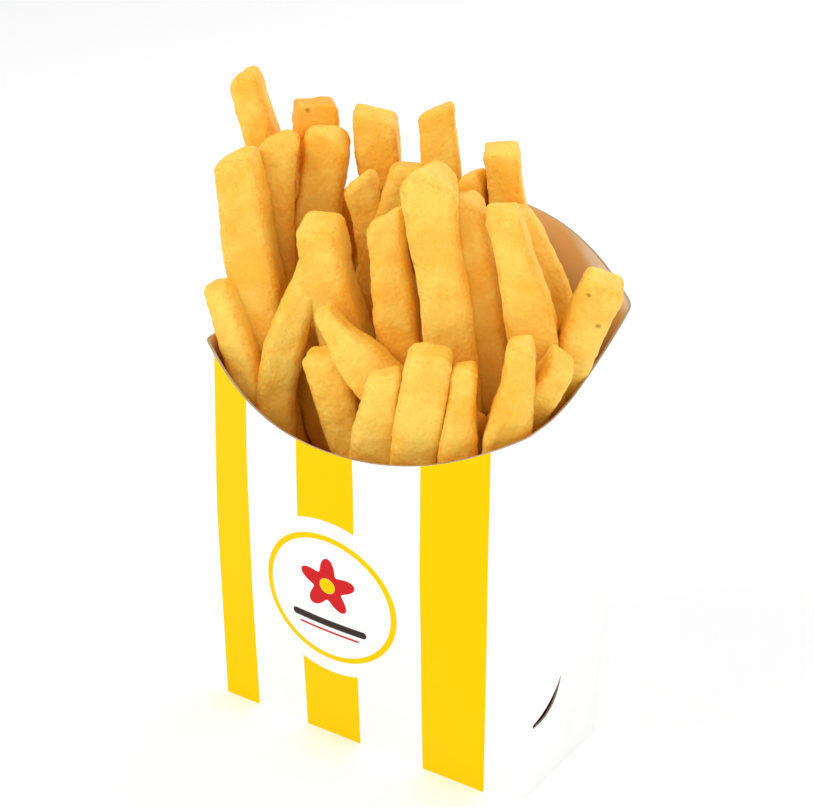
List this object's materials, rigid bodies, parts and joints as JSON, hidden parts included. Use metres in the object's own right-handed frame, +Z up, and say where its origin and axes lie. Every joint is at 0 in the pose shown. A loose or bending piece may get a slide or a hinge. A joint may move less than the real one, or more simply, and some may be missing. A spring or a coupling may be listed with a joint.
{
  "type": "french fries in a carton",
  "caption": "Thick-cut french fries standing in an upright scoop-front paperboard carton with striped front and arched back",
  "frame": {"origin": "middle of the carton's flat base, on the surface it stands on", "axes": "+Z up, -Y towards the low scooped front with the print, +X to the right as seen from the front"},
  "size_m": [0.1184, 0.0733, 0.1707],
  "materials": {
    "board": null,
    "potato": "golden fried potato, finely pitted and slightly oily"
  },
  "bodies": {
    "root": {"carton": "board", "fries": "potato"}
  },
  "joints": []
}
